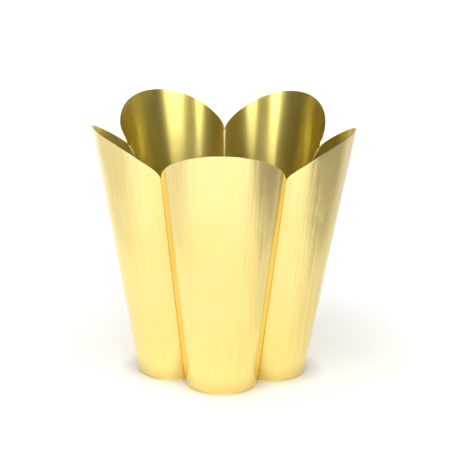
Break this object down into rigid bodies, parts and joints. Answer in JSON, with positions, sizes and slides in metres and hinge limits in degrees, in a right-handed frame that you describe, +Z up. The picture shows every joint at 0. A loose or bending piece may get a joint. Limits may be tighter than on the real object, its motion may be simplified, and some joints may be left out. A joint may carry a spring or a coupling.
{
  "type": "planter pot",
  "caption": "Flower-shaped brass planter pot with rolled, flared petals soldered side by side on a flat scalloped base plate.",
  "frame": {"origin": "centre of the base plate's underside, where the pot's axis meets the ground", "axes": "+Z up along the pot's axis; the middle of the front petal faces -Y"},
  "size_m": [0.201, 0.1956, 0.2],
  "materials": {
    "petal_brass": "softly polished outside, brushed satin inside",
    "base_brass": "satin, dulled inside",
    "seam_solder": "hard solder, wiped smooth",
    "base_solder": "hard solder, matt"
  },
  "bodies": {
    "root": {"petal_front": "petal_brass", "petal_right": "petal_brass", "petal_back_right": "petal_brass", "petal_back_left": "petal_brass", "petal_left": "petal_brass", "base_plate": "base_brass", "seam_solder_front_right": "seam_solder", "seam_solder_right": "seam_solder", "seam_solder_back": "seam_solder", "seam_solder_left": "seam_solder", "seam_solder_front_left": "seam_solder", "base_solder": "base_solder"}
  },
  "joints": []
}
